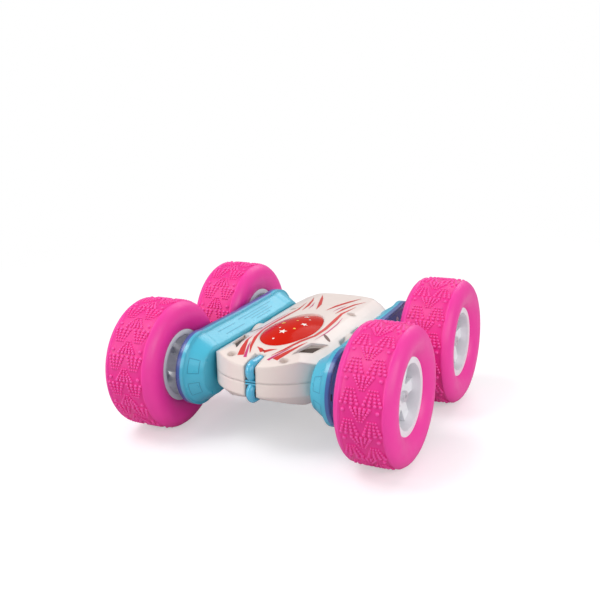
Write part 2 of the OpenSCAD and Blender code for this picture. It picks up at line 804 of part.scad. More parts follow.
// Gears, drawn about the X axis at their own shaft
module gear(z, m, x0, x1, turn) {
  x_extrude(x0, x1) rotate(turn) polygon(gear_points(z, m));
}
module at_shaft(side, y) {
  on_side(side) translate([0, y, 0]) children();
}
module motor_pinion(side) color("gold") at_shaft(side, 0) difference() {
  gear(pinion_z, mod_fast, fast_x - pinion_over, fast_x + fast_w, 0);
  x_cyl(shaft_r + seat_clear, fast_x - 1, fast_x + fast_w + 1);
}
module compound_gear(side, end) color("ivory") at_shaft(side, end * large_y) difference() {
  union() {
    gear(large_z, mod_fast, fast_x, fast_x + fast_w, 180 / large_z);
    gear(small_z, mod_slow, slow_x, slow_x + slow_w, 0);
    x_cyl(gear_hub_r, arm_floor + end_play, cover_x - end_play);
  }
  x_cyl(pin_r + run_clear, arm_floor, cover_x);
}
module idler_gear(side, end) color("ivory") at_shaft(side, end * idler_y) difference() {
  union() {
    gear(idler_z, mod_slow, slow_x, slow_x + slow_w, end > 0 ? 0 : 180);
    x_cyl(idler_hub_r, arm_floor + end_play, cover_x - end_play);
  }
  x_cyl(pin_r + run_clear, arm_floor, cover_x);
}
module wheel_gear(side, end) color("ivory") at_shaft(side, end * wheel_y) difference() {
  union() {
    gear(wheel_z, mod_slow, slow_x, slow_x + slow_w, 180 / wheel_z);
    x_cyl(axle_r + wheel_gear_hub_wall, arm_floor + end_play, bush_in - end_play);
  }
  x_cyl(axle_r + seat_clear, arm_floor, cover_x);
}
module gear_pins(side) color("silver") on_side(side)
  for (y = [large_y, idler_y], s = [FRONT, REAR])
    translate([0, s * y, 0])
      x_cyl(pin_r, arm_floor - blind_depth + hole_end, cover_x + cover_hole - hole_end);
module axle_bushes(side) color("goldenrod") on_side(side)
  for (s = [FRONT, REAR]) translate([0, s * wheel_y, 0]) difference() {
    union() {
      x_cyl(bush_r, bush_in, bush_out);
      x_cyl(bush_flange_r, bush_out - bush_flange_t, bush_out);
    }
    x_cyl(axle_r + run_clear, bush_in - 1, bush_out + 1);
  }

// Wheels, drawn about the X axis with stations measured from the wheel's centre plane
module at_wheel(side, end) {
  on_side(side) translate([wheel_x, end * wheel_y, 0]) children();
}
// What a rounded corner takes off a square one, for a corner at the origin that points to -x and -y
module corner_waste(r) {
  difference() {
    translate([-1, -1]) square(r + 1);
    translate([r, r]) circle(r = r, $fn = 64);
  }
}
// Section of radius by station, from r0 to r1 and from x0 to x1, rounded by ro outside and ri inside
module round_section(r0, r1, x0, x1, ro, ri) {
  difference() {
    translate([r0, x0]) square([r1 - r0, x1 - x0]);
    translate([r1, x0]) mirror([1, 0]) corner_waste(ro);
    translate([r1, x1]) rotate(180) corner_waste(ro);
    translate([r0, x0]) corner_waste(ri);
    translate([r0, x1]) mirror([0, 1]) corner_waste(ri);
  }
}
module tyre(side, end) color("deeppink") at_wheel(side, end) difference() {
  union() {
    x_turn() round_section(rim_r + seat_clear, tyre_r, -tyre_w / 2, tyre_w / 2, shoulder_r, side_r);
    x_turn() translate([barrel_r + seat_clear, rim_in + flange_t + seat_clear])
      square([side_r, rim_out - rim_in - 2 * flange_t - 2 * seat_clear]);
  }
  x_turn() round_section(
    rim_r + side_r - tyre_wall / 2, tyre_r - tyre_wall, -tyre_w / 2 + tyre_wall, tyre_w / 2 - tyre_wall,
    shoulder_r - tyre_wall, cavity_r
  );
  x_cyl(rim_r + side_r, rim_in + flange_t + bead_w, rim_out - flange_t - bead_w);
}
module rim(side, end) color("white") at_wheel(side, end) difference() {
  union() {
    x_turn() {
      translate([barrel_r - barrel_t, rim_in]) square([barrel_t, rim_out - rim_in]);
      for (x = [rim_in, rim_out - flange_t]) translate([barrel_r - barrel_t, x])
        square([barrel_t + flange_h, flange_t]);
    }
    x_cyl(barrel_r - cut, disc_out - disc_t, disc_out);
    x_cyl(rim_hub_r, rim_hub_in, rim_hub_out);
  }
  x_extrude(disc_out - disc_t - 1, disc_out + 1) rim_windows();
  x_cyl(axle_r + seat_clear, rim_hub_in - 1, rim_hub_out + 1);
}
module rim_windows() {
  difference() {
    circle(r = barrel_r - barrel_t);
    circle(r = window_in_r);
    for (i = [0:spoke_count - 1]) rotate(i * 360 / spoke_count)
      translate([0, -spoke_w / 2]) square([rim_r, spoke_w]);
  }
}
module axle(side, end) color("silver") at_wheel(side, end) difference() {
  x_cyl(axle_r, arm_floor - blind_depth + hole_end - wheel_x, rim_hub_out - hole_end);
  x_cyl(wheel_screw_r + seat_clear, rim_hub_out - wheel_screw_l - 1, rim_hub_out);
}
module wheel_screw(side, end) at_wheel(side, end)
  translate([rim_hub_out + head_gap, 0, 0]) rotate([0, 90, 0])
    screw(wheel_screw_r, wheel_screw_l, wheel_screw_head_r, wheel_screw_head_h);

body_top_shell();
body_bottom_shell();
canopy();
upper_tow_hook();
lower_tow_hook();
headlight_lenses();
headlight_lamps();
circuit_board();
battery_pack();
battery_door();
door_screw();
body_screws();
switch_housing();
switch_knob();
for (side = [LEFT, RIGHT]) {
  hand = side == LEFT ? "left" : "right";
  arm_shell(side);
  arm_cover(side);
  motor(side);
  motor_pinion(side);
  hub_ring(side);
  arm_screws(side);
  gear_pins(side);
  axle_bushes(side);
  for (end = [FRONT, REAR]) {
    place = str(end == FRONT ? "front_" : "rear_", hand);
    compound_gear(side, end);
    idler_gear(side, end);
    tyre(side, end);
    rim(side, end);
    axle(side, end);
    wheel_gear(side, end);
    wheel_screw(side, end);
  }
}
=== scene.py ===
import json
import math
import bmesh
import bpy
from mathutils import Matrix, Vector
from mathutils.bvhtree import BVHTree

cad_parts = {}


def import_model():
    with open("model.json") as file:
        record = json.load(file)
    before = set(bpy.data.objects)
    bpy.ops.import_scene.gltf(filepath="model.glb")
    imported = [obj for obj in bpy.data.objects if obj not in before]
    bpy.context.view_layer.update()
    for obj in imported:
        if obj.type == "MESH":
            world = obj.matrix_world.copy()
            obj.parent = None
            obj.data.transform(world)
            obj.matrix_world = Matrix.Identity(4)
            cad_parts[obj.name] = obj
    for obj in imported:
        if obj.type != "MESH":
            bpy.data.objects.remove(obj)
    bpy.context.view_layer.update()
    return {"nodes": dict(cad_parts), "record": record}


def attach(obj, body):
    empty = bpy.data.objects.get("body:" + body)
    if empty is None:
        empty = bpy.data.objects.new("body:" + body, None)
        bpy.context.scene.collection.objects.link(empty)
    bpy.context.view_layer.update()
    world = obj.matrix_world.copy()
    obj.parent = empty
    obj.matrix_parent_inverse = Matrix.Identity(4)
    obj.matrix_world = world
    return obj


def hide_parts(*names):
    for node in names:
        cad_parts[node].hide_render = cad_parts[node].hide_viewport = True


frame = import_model()
NODES = frame["nodes"]
MM = 0.001
HANDS = (("left", 1), ("right", -1))
ENDS = (("front", -1), ("rear", 1))

# Sizes shared with the part, in millimetres
AXLE_H = 39.0
WHEEL_X, WHEEL_Y = 72.0, 47.4
TYRE_R, TYRE_HW, SHOULDER_R = 39.0, 17.0, 8.5
RIM_R, RIM_OUT, RIM_IN = 21.5, 12.7, -15.0
ARM_IN, ARM_OUT = 33.6, 48.0


# Materials

def linear(r, g, b):
    """A colour written as 0 to 255 screen values, as the linear values that a shader takes."""
    def one(c):
        c /= 255.0
        return c / 12.92 if c <= 0.04045 else ((c + 0.055) / 1.055) ** 2.4
    return (one(r), one(g), one(b), 1.0)


def scaled(c, k):
    return tuple(min(1.0, v * k) for v in c[:3]) + (1.0,)


class Nodes:
    """A material's node tree with short calls to add and join nodes."""

    def __init__(self, name):
        self.mat = bpy.data.materials.new(name)
        self.mat.use_nodes = True
        self.tree = self.mat.node_tree
        self.tree.nodes.clear()
        self.out = self.add("ShaderNodeOutputMaterial")
        self.coords = self.add("ShaderNodeTexCoord").outputs["Object"]

    def add(self, kind, **props):
        node = self.tree.nodes.new(kind)
        for key, value in props.items():
            setattr(node, key, value)
        return node

    def join(self, a, b):
        self.tree.links.new(a, b)

    def axes(self):
        node = self.add("ShaderNodeSeparateXYZ")
        self.join(self.coords, node.inputs[0])
        return node.outputs

    def noise(self, scale, detail):
        node = self.add("ShaderNodeTexNoise")
        node.inputs["Scale"].default_value = scale
        node.inputs["Detail"].default_value = detail
        node.inputs["Roughness"].default_value = 0.5
        self.join(self.coords, node.inputs["Vector"])
        return node.outputs["Fac"]

    def remap(self, value, lo, hi, a=0.3, b=0.7):
        """The range a to b of a value, stretched to lo to hi; noise lies mostly within the default range."""
        node = self.add("ShaderNodeMapRange")
        node.inputs["From Min"].default_value = a
        node.inputs["From Max"].default_value = b
        node.inputs["To Min"].default_value = lo
        node.inputs["To Max"].default_value = hi
        self.join(value, node.inputs["Value"])
        return node.outputs["Result"]

    def mix(self, fac, c0, c1):
        node = self.add("ShaderNodeMix", data_type="RGBA")
        self.join(fac, node.inputs["Factor"])
        for c, socket in ((c0, node.inputs[6]), (c1, node.inputs[7])):
            if isinstance(c, tuple):
                socket.default_value = c
            else:
                self.join(c, socket)
        return node.outputs[2]

    def maths(self, operation, a, b=0.0):
        node = self.add("ShaderNodeMath", operation=operation)
        for v, socket in ((a, node.inputs[0]), (b, node.inputs[1])):
            if isinstance(v, float):
                socket.default_value = v
            else:
                self.join(v, socket)
        return node.outputs[0]

    def bump(self, height, strength, distance, normal=None):
        node = self.add("ShaderNodeBump")
        node.inputs["Strength"].default_value = strength
        node.inputs["Distance"].default_value = distance
        self.join(height, node.inputs["Height"])
        if normal:
            self.join(normal, node.inputs["Normal"])
        return node.outputs["Normal"]

    def shader(self, **values):
        node = self.add("ShaderNodeBsdfPrincipled")
        for key, value in values.items():
            node.inputs[key.replace("_", " ")].default_value = value
        self.join(node.outputs["BSDF"], self.out.inputs["Surface"])
        return node


# Noise scales are per metre
MOTTLE_SCALE, GLOSS_SCALE, SKIN_SCALE = 70.0, 160.0, 2600.0
GLOSSIER, DULLER = 0.05, 0.07
SKIN_DEPTH = 0.1
COAT_ROUGH = 0.12
BEVEL_SAMPLES = 6
COLOUR_EDGE = 0.06


def moulded(name, colour, rough, coat=0.0, edge=0.6, grain=0.05, vary=0.05, metal=0.0, spec=0.5, outer=None):
    """Moulded or machined stuff: faint mottling, uneven gloss, a fine skin texture and softened edges.

    outer is a distance from the car's centre plane and the colour that begins there.
    """
    n = Nodes(name)
    s = n.shader(Metallic=metal, Specular_IOR_Level=spec, Coat_Weight=coat, Coat_Roughness=COAT_ROUGH)
    tint = n.mix(n.noise(MOTTLE_SCALE, 4.0), scaled(colour, 1 - vary), scaled(colour, 1 + vary))
    if outer:
        start, beyond = outer
        away = n.maths("ABSOLUTE", n.axes()["X"])
        past = n.remap(away, 0.0, 1.0, (start - COLOUR_EDGE) * MM, (start + COLOUR_EDGE) * MM)
        tint = n.mix(past, tint, beyond)
    n.join(tint, s.inputs["Base Color"])
    gloss = n.remap(n.noise(GLOSS_SCALE, 5.0), rough - GLOSSIER, rough + DULLER)
    n.join(gloss, s.inputs["Roughness"])
    normal = None
    if edge:
        soft = n.add("ShaderNodeBevel", samples=BEVEL_SAMPLES)
        soft.inputs["Radius"].default_value = edge * MM
        normal = soft.outputs["Normal"]
    n.join(n.bump(n.noise(SKIN_SCALE, 2.0), grain, SKIN_DEPTH * MM, normal), s.inputs["Normal"])
    return n.mat


# The dark oval in plan, painted shade of the lamp's hollow interior: centre on the car's left, direction of
# its long axis, half axes
OVAL_X, OVAL_Y = 22.6, -38.4
OVAL_DX, OVAL_DY = 0.347, 0.938
OVAL_LONG, OVAL_SHORT = 10.0, 2.9
OVAL_EDGE = (0.75, 1.25)


def lens(name):
    """Smoked clear plastic with a dark oval painted on it as shade of the lamp's hollow interior, on each
    side of the nose.
    """
    n = Nodes(name)
    s = n.shader(Specular_IOR_Level=0.06, Roughness=0.3)
    axes = n.axes()
    x = n.maths("SUBTRACT", n.maths("ABSOLUTE", axes["X"]), OVAL_X * MM)
    y = n.maths("SUBTRACT", axes["Y"], OVAL_Y * MM)
    along = n.maths("ADD", n.maths("MULTIPLY", x, OVAL_DX), n.maths("MULTIPLY", y, OVAL_DY))
    across = n.maths("SUBTRACT", n.maths("MULTIPLY", x, OVAL_DY), n.maths("MULTIPLY", y, OVAL_DX))
    pairs = ((along, OVAL_LONG), (across, OVAL_SHORT))
    squares = [n.maths("POWER", n.maths("DIVIDE", v, half * MM), 2.0) for v, half in pairs]
    shade = n.remap(n.maths("ADD", *squares), 0.0, 1.0, *OVAL_EDGE)
    # Dark inside the oval, grey outside: the dark is painted shade.
    n.join(n.mix(shade, linear(70, 52, 44), linear(176, 166, 158)), s.inputs["Base Color"])
    return n.mat


CYAN = linear(74, 190, 220)
RED = linear(206, 30, 14)
INDIGO = linear(70, 112, 186)
CYAN_END = 45.4
LOOKS = {
    "tyre_rubber": dict(colour=linear(248, 56, 165), rough=0.42, edge=0.0, grain=0.1, vary=0.06),
    # The tread floor is a darker copy of the tyre's pink, painted shade between the nubs; the nubs are a
    # lighter copy, a painted highlight on their tops.
    "tread_rubber_painted_shade": dict(colour=linear(238, 36, 146), rough=0.46, edge=0.0, grain=0.1, vary=0.06),
    "nub_rubber_painted_highlight": dict(colour=linear(252, 74, 172), rough=0.42, edge=0.0, grain=0.1, vary=0.06),
    "rim_plastic": dict(colour=linear(242, 242, 246), rough=0.36, coat=0.15, edge=0.7),
    # The arm's outer band past CYAN_END is indigo like the cover, a two-tone colour, darkened by 0.85 as
    # painted shade for the gap between arm and rim.
    "arm_plastic": dict(colour=CYAN, rough=0.3, coat=0.3, edge=2.0, outer=(CYAN_END, scaled(INDIGO, 0.85))),
    "cover_plastic": dict(colour=INDIGO, rough=0.34, coat=0.25, edge=0.8),
    "body_plastic": dict(colour=linear(240, 226, 219), rough=0.36, coat=0.2, edge=2.2, vary=0.025),
    "canopy_plastic": dict(colour=RED, rough=0.16, edge=0.8, grain=0.01, vary=0.08, spec=0.04),
    "hook_plastic": dict(colour=linear(78, 186, 222), rough=0.16, coat=0.8, edge=0.4, grain=0.02),
    "lamp_plastic": dict(colour=linear(246, 244, 236), rough=0.08, coat=1.0, edge=0.2),
    "board": dict(colour=linear(26, 92, 52), rough=0.42, vary=0.15, edge=0.2),
    "battery_wrap": dict(colour=linear(34, 74, 168), rough=0.3, edge=0.6, vary=0.1),
    "switch_plastic": dict(colour=linear(26, 26, 28), rough=0.42, edge=0.3, vary=0.2),
    "gear_plastic": dict(colour=linear(236, 232, 218), rough=0.42, edge=0.2),
    "steel": dict(colour=linear(226, 226, 230), rough=0.42, metal=0.7, edge=0.2, vary=0.06),
    "brass": dict(colour=linear(214, 176, 96), rough=0.3, metal=1.0, edge=0.2, vary=0.08),
    "print_red": dict(colour=linear(214, 42, 34), rough=0.34, coat=0.2, edge=0.1, vary=0.08),
    "print_magenta": dict(colour=linear(206, 48, 122), rough=0.34, coat=0.2, edge=0.1, vary=0.08),
    "print_white": dict(colour=linear(250, 246, 238), rough=0.3, coat=0.4, edge=0.1),
    "print_yellow": dict(colour=linear(250, 206, 70), rough=0.3, coat=0.4, edge=0.1),
    # Darker cyan for the arms' panel lines: painted shade in the grooves.
    "groove_painted_shade": dict(colour=linear(54, 150, 184), rough=0.4, edge=0.1),
    # Dull brown for the pod vents: painted shade of the slits' hollows.
    "vent_painted_shade": dict(colour=linear(128, 92, 86), rough=0.5, edge=0.1, vary=0.2),
    # Near-black for the slots in the arms' covers: painted shade of their hollows, on flat sheets.
    "slot_painted_shade": dict(colour=linear(26, 32, 62), rough=0.5, edge=0.1, vary=0.2),
}
MATERIALS = {name: moulded(name, **look) for name, look in LOOKS.items()}
MATERIALS["lens_plastic"] = lens("lens_plastic")

for row in frame["record"]["subparts"]:
    mesh = NODES[row["node"]].data
    mesh.materials.clear()
    mesh.materials.append(MATERIALS[row["material_slot"]])


# Meshes and objects

def make_mesh(name, verts, faces, looks, which=None, smooth=True):
    """A mesh from points in millimetres; which gives each face its place in the list of looks."""
    mesh = bpy.data.meshes.new(name)
    mesh.from_pydata([Vector(v) * MM for v in verts], [], faces)
    for look in looks:
        mesh.materials.append(MATERIALS[look])
    if which:
        mesh.polygons.foreach_set("material_index", which)
    mesh.polygons.foreach_set("use_smooth", [smooth] * len(mesh.polygons))
    mesh.update()
    return mesh


def add_object(name, data):
    obj = bpy.data.objects.new(name, data)
    bpy.context.scene.collection.objects.link(obj)
    return obj


def add_piece(name, mesh, body):
    obj = add_object(name, mesh)
    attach(obj, body)


# Tyres: a revolved carcass with a sunk tread band, and round nubs that stand in the band in fans

TURNS = 180
TREAD_HALF, TREAD_SINK, TREAD_RAMP = 12.0, 1.0, 0.45
RAMP_OFFSETS = (0.55, 0.3, 0.0, -0.3, -0.55)
RAMP_CLEAR = 0.8
SIDEWALL_STEPS, SHOULDER_STEPS, BAND_STEPS = 8, 12, 8
LIP_GAP, SEAT_INSET, SEAT_DEPTH = 0.3, 2.0, 1.4
FLOOR_INSET, FLOOR_MIN_R = 0.7, RIM_R + 8

NUB_SIDES = 9
NUB_RINGS = ((1.0, -0.15), (0.97, 0.45), (0.72, 0.86))

# A unit of tread has a fan on each side, a fan between them that points the other way, and two lone nubs.
# Angles are in degrees. A pair is the value at a fan's narrow end and what its wide end adds.
UNITS, FIRST_UNIT = 15, 143.0
NUB_H = (0.76, 0.24)
SIDE_ROWS, SIDE_COLS, SIDE_ARC = 5, 4, 10.8
SIDE_MIDDLE, SIDE_SPREAD, SIDE_NUB_R = 6.3, (2.1, 2.5), (0.54, 0.42)
CENTRE_ROWS, CENTRE_ARC, CENTRE_GAP = 6, 9.8, 3.4
CENTRE_COLS_NARROW, CENTRE_COLS_WIDE = 3, 5
CENTRE_SPREAD, CENTRE_NUB_R = (1.2, 3.8), (0.5, 0.42)
LONE_STATION, LONE_ANGLE, LONE_R, LONE_H = 9.4, 5.4, 1.0, 0.95


def outer_point(s):
    """Station, radius and normal angle on the outer section, at arc length s from the tyre's centre line."""
    flat = TYRE_HW - SHOULDER_R
    a = max(0.0, abs(s) - flat) / SHOULDER_R
    x = math.copysign(min(abs(s), flat) + SHOULDER_R * math.sin(a), s)
    return x, TYRE_R - SHOULDER_R + SHOULDER_R * math.cos(a), math.copysign(a, s)


def sunk(s):
    """Depth of the tread band's floor below the outer section."""
    t = min(1.0, max(0.0, (TREAD_HALF + TREAD_RAMP - abs(s)) / (2 * TREAD_RAMP)))
    return TREAD_SINK * t * t * (3 - 2 * t)


def floor_point(s):
    """As outer_point, but on the floor of the tread band."""
    x, r, a = outer_point(s)
    d = sunk(s)
    return x - d * math.sin(a), r - d * math.cos(a), a


def sidewall(bead_x):
    """Points of a sidewall from the rim's lip to the shoulder, on an arc that ends upright."""
    run, rise = TYRE_R - SHOULDER_R - RIM_R, TYRE_HW - bead_x
    r = (run * run + rise * rise) / (2 * rise)
    steps = [run * i / SIDEWALL_STEPS for i in range(SIDEWALL_STEPS)]
    return [(TYRE_HW - r + math.sqrt(r * r - (run - d) ** 2), RIM_R + d) for d in steps]


def tyre_section():
    """Closed section of (station, radius): over the tread from bead to bead, then back along the seat."""
    s_end = TYRE_HW - SHOULDER_R + SHOULDER_R * math.pi / 2
    stations = [s_end * k / SHOULDER_STEPS for k in range(SHOULDER_STEPS, 0, -1)]
    stations = [s for s in stations if s > TREAD_HALF + RAMP_CLEAR]
    stations += [TREAD_HALF + d for d in RAMP_OFFSETS]
    stations += [TREAD_HALF * k / BAND_STEPS for k in range(BAND_STEPS - 1, -1, -1)]
    outside = [floor_point(s)[:2] for s in stations]
    inside = [(-x, r) for x, r in reversed(outside[:-1])]
    inside += [(-x, r) for x, r in reversed(sidewall(-RIM_IN + LIP_GAP))]
    seat = [(x, RIM_R - SEAT_DEPTH) for x in (RIM_IN + SEAT_INSET, RIM_OUT - SEAT_INSET)]
    return sidewall(RIM_OUT + LIP_GAP) + outside + inside + seat


def carcass():
    """The revolved section; the last list marks the faces of the tread floor with 1, which take the darker
    rubber of painted shade.
    """
    section = tyre_section()
    n = len(section)
    verts, faces, which = [], [], []
    for t in range(TURNS):
        a = 2 * math.pi * t / TURNS
        verts += [(x, r * math.cos(a), r * math.sin(a)) for x, r in section]
    for t in range(TURNS):
        u = (t + 1) % TURNS
        for i in range(n):
            j = (i + 1) % n
            faces.append((t * n + i, t * n + j, u * n + j, u * n + i))
            ends = (section[i], section[j])
            on_floor = all(r > FLOOR_MIN_R and abs(x) < TREAD_HALF - FLOOR_INSET for x, r in ends)
            which.append(1 if on_floor else 0)
    return verts, faces, which


def add_nub(verts, faces, s, phi, r, h):
    """A low dome on the tread floor at arc length s and angle phi, with its foot sunk into the rubber."""
    x, rad, a = floor_point(s)
    c, sn = math.cos(phi), math.sin(phi)
    foot = Vector((x, rad * c, rad * sn))
    up = Vector((math.sin(a), math.cos(a) * c, math.cos(a) * sn))
    along = Vector((0, -sn, c))
    across = up.cross(along)
    turns = [2 * math.pi * q / NUB_SIDES for q in range(NUB_SIDES)]
    ring = len(verts)
    for share, height in NUB_RINGS:
        for w in turns:
            out = along * math.cos(w) + across * math.sin(w)
            verts.append(foot + up * (height * h) + out * (r * share))
    verts.append(foot + up * h)
    top = len(verts) - 1
    for _ in NUB_RINGS[1:]:
        above = ring + NUB_SIDES
        for q in range(NUB_SIDES):
            p = (q + 1) % NUB_SIDES
            faces.append((ring + q, ring + p, above + p, above + q))
        ring = above
    for q in range(NUB_SIDES):
        faces.append((ring + q, ring + (q + 1) % NUB_SIDES, top))


def along_fan(pair, t):
    return pair[0] + pair[1] * t


def add_tread(verts, faces):
    for k in range(UNITS):
        wide = math.radians(FIRST_UNIT) + k * 2 * math.pi / UNITS
        for row in range(SIDE_ROWS):
            t = row / (SIDE_ROWS - 1)
            phi = wide - math.radians(SIDE_ARC) * (1 - t)
            for col in range(SIDE_COLS):
                s = SIDE_MIDDLE + (col / (SIDE_COLS - 1) * 2 - 1) * along_fan(SIDE_SPREAD, t)
                for side in (-1, 1):
                    add_nub(verts, faces, side * s, phi, along_fan(SIDE_NUB_R, t), along_fan(NUB_H, t))
        for row in range(CENTRE_ROWS):
            t = row / (CENTRE_ROWS - 1)
            phi = wide + math.radians(CENTRE_GAP + CENTRE_ARC * (1 - t))
            cols = CENTRE_COLS_WIDE if t > 0.5 else CENTRE_COLS_NARROW
            for col in range(cols):
                s = (col / (cols - 1) * 2 - 1) * along_fan(CENTRE_SPREAD, t)
                add_nub(verts, faces, s, phi, along_fan(CENTRE_NUB_R, t), along_fan(NUB_H, t))
        for side in (-1, 1):
            add_nub(verts, faces, side * LONE_STATION, wide + math.radians(LONE_ANGLE), LONE_R, LONE_H)


def tyre_mesh():
    verts, faces, which = carcass()
    add_tread(verts, faces)
    # Nub faces take the lighter rubber, a painted highlight; tread floor faces take the darker rubber,
    # painted shade.
    which += [2] * (len(faces) - len(which))
    mesh = make_mesh("tyre", verts, faces, ("tyre_rubber", "tread_rubber_painted_shade", "nub_rubber_painted_highlight"), which)
    bm = bmesh.new()
    bm.from_mesh(mesh)
    bmesh.ops.recalc_face_normals(bm, faces=bm.faces)
    bm.to_mesh(mesh)
    bm.free()
    return mesh


rubber = tyre_mesh()
for hand, side in HANDS:
    for end, way in ENDS:
        place = f"{end}_{hand}"
        obj = add_object(f"nubbed_tyre_{place}", rubber)
        turn = Matrix.Rotation(0.0 if side > 0 else math.pi, 4, "Z")
        obj.matrix_world = Matrix.Translation(Vector((side * WHEEL_X, way * WHEEL_Y, AXLE_H)) * MM) @ turn
        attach(obj, f"{place}_wheel")
        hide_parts(f"tyre_{place}")


# Prints on the deck and the canopy, laid on the surface under them

ABOVE = 120.0
STRIP_ROWS, STRIP_STEP = 5, 0.9
SPOT_RINGS = 3
STREAK_LIFT, VENT_LIFT, MARK_LIFT = 0.09, 0.07, 0.06


def surface(node):
    """A ray-casting tree of a CAD node, in millimetres."""
    mesh = NODES[node].data
    points = [v.co / MM for v in mesh.vertices]
    return BVHTree.FromPolygons(points, [tuple(p.vertices) for p in mesh.polygons])


def layer(tree, lift):
    """A function that puts a plan point on the upper side of a surface."""
    def lay(x, y):
        hit, normal, _, _ = tree.ray_cast(Vector((x, y, ABOVE)), Vector((0, 0, -1)))
        if hit is None:
            return None
        if normal.z < 0:
            normal = -normal
        return hit + normal * lift
    return lay


def ribbon(path, widths, lay):
    """A strip of quads along a plan path, or nothing where part of it misses the surface."""
    dense = []
    for (a, wa), (b, wb) in zip(zip(path, widths), zip(path[1:], widths[1:])):
        a, b = Vector(a), Vector(b)
        n = max(1, int((b - a).length / STRIP_STEP))
        dense += [(a.lerp(b, i / n), wa + (wb - wa) * i / n) for i in range(n)]
    dense.append((Vector(path[-1]), widths[-1]))
    verts, faces = [], []
    for i, (p, w) in enumerate(dense):
        q = dense[min(i + 1, len(dense) - 1)][0] - dense[max(i - 1, 0)][0]
        side = Vector((-q[1], q[0])).normalized()
        for k in range(STRIP_ROWS):
            v = lay(*(p + side * w * (k / (STRIP_ROWS - 1) - 0.5)))
            if v is None:
                return [], []
            verts.append(v)
    for i in range(len(dense) - 1):
        for k in range(STRIP_ROWS - 1):
            a = i * STRIP_ROWS + k
            faces.append((a, a + 1, a + STRIP_ROWS + 1, a + STRIP_ROWS))
    return verts, faces


def streaks_mesh(name, strips, lay, looks):
    """One mesh from several strips, each (path, widths, look), drawn on both hands."""
    verts, faces, which = [], [], []
    for path, widths, look in strips:
        for hand in (1, -1):
            v, f = ribbon([(hand * x, y) for x, y in path], widths, lay)
            base = len(verts)
            verts += v
            faces += [tuple(base + i for i in (q if hand < 0 else reversed(q))) for q in f]
            which += [look] * len(f)
    return make_mesh(name, verts, faces, looks, which)


def spots_mesh(name, spots, lay, looks):
    """One mesh from several flat prints, each (outline, centre, look), fanned from the centre in rings."""
    verts, faces, which = [], [], []
    for outline, (cx, cy), look in spots:
        base = len(verts)
        n = len(outline)
        verts.append(lay(cx, cy))
        for k in range(1, SPOT_RINGS + 1):
            verts += [lay(cx + (x - cx) * k / SPOT_RINGS, cy + (y - cy) * k / SPOT_RINGS) for x, y in outline]
        for i in range(n):
            j = (i + 1) % n
            faces.append((base, base + 1 + i, base + 1 + j))
            for k in range(SPOT_RINGS - 1):
                a = base + 1 + k * n
                faces.append((a + i, a + n + i, a + n + j, a + j))
        which += [look] * (SPOT_RINGS * n)
    return make_mesh(name, verts, faces, looks, which)


def star(cx, cy, r, turn, look):
    """A five-pointed star, as a spot."""
    outline = []
    for i in range(10):
        a = turn + math.pi * i / 5
        k = r if i % 2 == 0 else r * 0.45
        outline.append((cx + k * math.cos(a), cy + k * math.sin(a)))
    return outline, (cx, cy), look


def dot(cx, cy, r, look):
    """A round dot, as a spot."""
    turns = [2 * math.pi * i / 16 for i in range(16)]
    return [(cx + r * math.cos(t), cy + r * math.sin(t)) for t in turns], (cx, cy), look


def slit(cx, cy, a, b, dx, dy):
    """An oval with half axes a and b and its long axis along (dx, dy), as a spot."""
    ends = [(a * math.cos(t), b * math.sin(t)) for t in (2 * math.pi * i / 24 for i in range(24))]
    return [(cx + p * dx - q * dy, cy + p * dy + q * dx) for p, q in ends], (cx, cy), 0


STREAKS = [
    ([(6.8, -54.5), (10.4, -46.5), (13.9, -35), (17.3, -20), (17.6, -6), (16.4, 10), (15.2, 24), (17.5, 42)],
     [0.3, 1.6, 2.0, 1.5, 1.9, 2.2, 1.5, 0.15], 0),
    ([(10.8, -58.0), (13.6, -50), (16.6, -40), (18.0, -31)], [3.8, 3.0, 1.4, 0.1], 0),
    ([(7.2, -59.5), (9.4, -53.5), (12.2, -46), (13.6, -41)], [1.8, 1.4, 0.8, 0.1], 1),
    ([(19.6, -26), (20.6, -10), (20.0, 6), (18.4, 18)], [0.1, 0.8, 0.7, 0.1], 1),
    ([(3.4, 26), (6.0, 37), (10.6, 50), (14.2, 59)], [0.2, 2.4, 1.8, 0.1], 0),
    ([(11.6, 22), (12.6, 33), (15.2, 45), (18.8, 55)], [0.2, 1.8, 1.4, 0.1], 0),
    ([(8.6, 25), (9.6, 33), (11.6, 41)], [0.1, 0.9, 0.1], 1),
    ([(0.2, -51.5), (3.0, -48.8), (6.4, -46.6)], [3.2, 2.2, 0.2], 0),
]
# Each pod vent is a flat dark oval: painted shade where the slit's hollow is.
VENTS = [slit(h * 23.4, -16.8, 4.4, 1.25, h * 0.72, -0.69) for h in (1, -1)]
MARKS = [
    star(0.0, -27.0, 2.7, 0.4, 0), star(-6.4, -13.5, 2.0, 0.9, 1), star(6.6, -12.0, 2.3, 0.1, 0),
    star(0.6, 4.0, 2.4, 0.6, 0), dot(4.6, -21.0, 0.8, 1), dot(-4.4, -22.0, 0.6, 0), dot(0.4, -8.0, 0.7, 1),
    dot(-5.0, 0.0, 0.6, 0), dot(5.4, -1.5, 0.6, 0), dot(-0.4, 12.5, 0.8, 1), dot(-1.6, -36.0, 0.7, 0),
]

deck, dome = surface("body_top_shell"), surface("canopy")
mesh = streaks_mesh("body_streaks", STREAKS, layer(deck, STREAK_LIFT), ("print_red", "print_magenta"))
add_piece("body_streaks", mesh, "chassis")
# The vents' dark ovals are painted shade.
mesh = spots_mesh("pod_vents", VENTS, layer(deck, VENT_LIFT), ("vent_painted_shade",))
add_piece("pod_vents", mesh, "chassis")
mesh = spots_mesh("canopy_marks", MARKS, layer(dome, MARK_LIFT), ("print_white", "print_yellow"))
add_piece("canopy_marks", mesh, "chassis")


